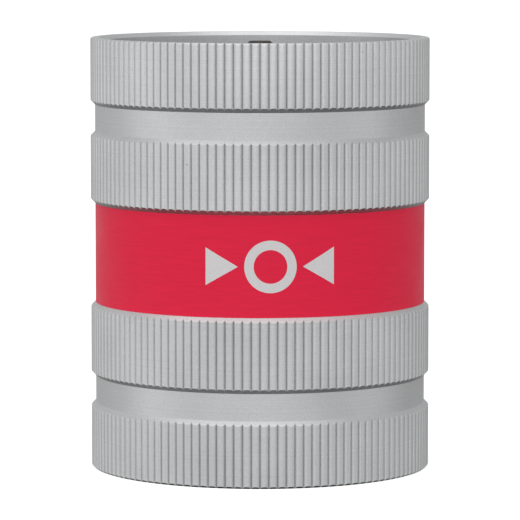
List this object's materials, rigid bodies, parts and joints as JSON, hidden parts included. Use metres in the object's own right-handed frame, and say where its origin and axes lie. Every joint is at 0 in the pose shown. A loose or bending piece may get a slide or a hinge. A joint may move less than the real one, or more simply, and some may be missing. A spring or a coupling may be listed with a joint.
{
  "type": "tube deburring tool",
  "caption": "Cylindrical hand deburrer with ribbed grip bands around a cone and funnel of radial blades that trim the inside and outside edges of cut tubes.",
  "frame": {"origin": "centre of the lower rim, on the plane it stands on", "axes": "+Z along the tool's axis, from the funnel mouth up to the cone's nose; one blade lies along +X"},
  "size_m": [0.07, 0.07, 0.0888],
  "materials": {
    "barrel": "etched satin and clear anodised",
    "label": "printed vinyl film, satin",
    "carrier": "turned",
    "spring_wire": "drawn spring wire",
    "black_steel": "black oxide",
    "blade": "hardened and ground"
  },
  "bodies": {
    "root": {"barrel": "barrel", "label": "label", "upper_carrier": "carrier", "lower_carrier": "carrier", "upper_snap_ring": "spring_wire", "lower_snap_ring": "spring_wire", "blade_hub": "black_steel", "core_pin": "black_steel", "set_screws": "black_steel", "blade_01": "blade", "blade_02": "blade", "blade_03": "blade", "blade_04": "blade", "blade_05": "blade", "blade_06": "blade", "blade_07": "blade", "blade_08": "blade", "blade_09": "blade", "blade_10": "blade", "blade_11": "blade", "blade_12": "blade", "blade_13": "blade", "blade_14": "blade", "blade_15": "blade", "blade_16": "blade"}
  },
  "joints": []
}
